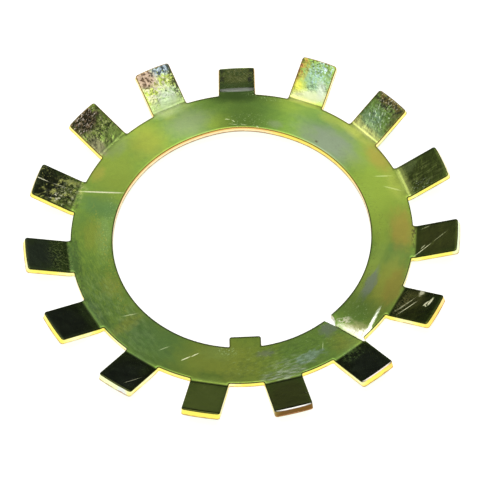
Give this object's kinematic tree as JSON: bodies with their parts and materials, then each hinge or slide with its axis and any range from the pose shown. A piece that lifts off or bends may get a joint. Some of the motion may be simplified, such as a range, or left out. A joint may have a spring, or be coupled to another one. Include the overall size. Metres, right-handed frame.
{
  "type": "tab lock washer",
  "caption": "Flat ring lock washer of sheet steel with folded outer tabs, a lowered tab, an inner key tongue, and a chipped and cracked ring.",
  "frame": {"origin": "centre of the bore in the plane of the ring's lower face", "axes": "+Z along the bore axis towards the side that the raised tabs lift to; +Y towards the lowered tab, with the inner tongue on -Y"},
  "size_m": [0.0884, 0.0879, 0.0083],
  "materials": {
    "plated_steel": "bright yellow-green zinc plating, glossy and lightly scratched"
  },
  "bodies": {
    "root": {"tab_lock_washer": "plated_steel"}
  },
  "joints": []
}
